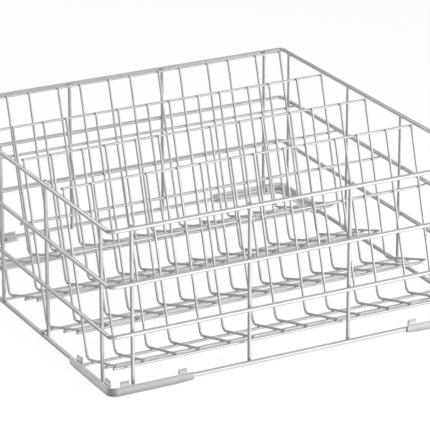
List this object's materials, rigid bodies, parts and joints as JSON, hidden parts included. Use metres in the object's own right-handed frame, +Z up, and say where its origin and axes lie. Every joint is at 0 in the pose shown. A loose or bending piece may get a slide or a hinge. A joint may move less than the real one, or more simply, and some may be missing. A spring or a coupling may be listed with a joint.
{
  "type": "dishwasher glass rack",
  "caption": "Square welded steel wire rack with slanted comb rows that hold upturned glasses in a dishwasher, on moulded corner glides.",
  "frame": {"origin": "centre of the footprint, on the surface the glides stand on", "axes": "+X to the right and +Y to the back seen from the front, where the rows lean back; +Z up"},
  "size_m": [0.5042, 0.5042, 0.2042],
  "materials": {
    "frame_wire": "satin drawn wire",
    "comb_wire": "satin drawn wire",
    "glide_plastic": "fine matte moulding"
  },
  "bodies": {
    "root": {"back_left_glide": "glide_plastic", "back_right_glide": "glide_plastic", "back_upright_1": "frame_wire", "back_upright_2": "frame_wire", "back_upright_3": "frame_wire", "back_upright_4": "frame_wire", "base_ring": "frame_wire", "front_left_glide": "glide_plastic", "front_right_glide": "glide_plastic", "front_upright_1": "frame_wire", "front_upright_2": "frame_wire", "front_upright_3": "frame_wire", "front_upright_4": "frame_wire", "left_upright_1": "frame_wire", "left_upright_2": "frame_wire", "left_upright_3": "frame_wire", "left_upright_4": "frame_wire", "lower_ring": "frame_wire", "right_upright_1": "frame_wire", "right_upright_2": "frame_wire", "right_upright_3": "frame_wire", "right_upright_4": "frame_wire", "row_1_front_floor_wire": "comb_wire", "row_1_lower_rail": "comb_wire", "row_1_middle_floor_wire": "comb_wire", "row_1_prongs": "comb_wire", "row_1_rear_floor_wire": "comb_wire", "row_1_top_rail": "comb_wire", "row_2_front_floor_wire": "comb_wire", "row_2_lower_rail": "comb_wire", "row_2_middle_floor_wire": "comb_wire", "row_2_prongs": "comb_wire", "row_2_rear_floor_wire": "comb_wire", "row_2_top_rail": "comb_wire", "row_3_front_floor_wire": "comb_wire", "row_3_lower_rail": "comb_wire", "row_3_middle_floor_wire": "comb_wire", "row_3_prongs": "comb_wire", "row_3_rear_floor_wire": "comb_wire", "row_3_top_rail": "comb_wire", "row_4_front_floor_wire": "comb_wire", "row_4_lower_rail": "comb_wire", "row_4_middle_floor_wire": "comb_wire", "row_4_prongs": "comb_wire", "row_4_rear_floor_wire": "comb_wire", "row_4_top_rail": "comb_wire", "top_ring": "frame_wire", "upper_ring": "frame_wire"}
  },
  "joints": []
}
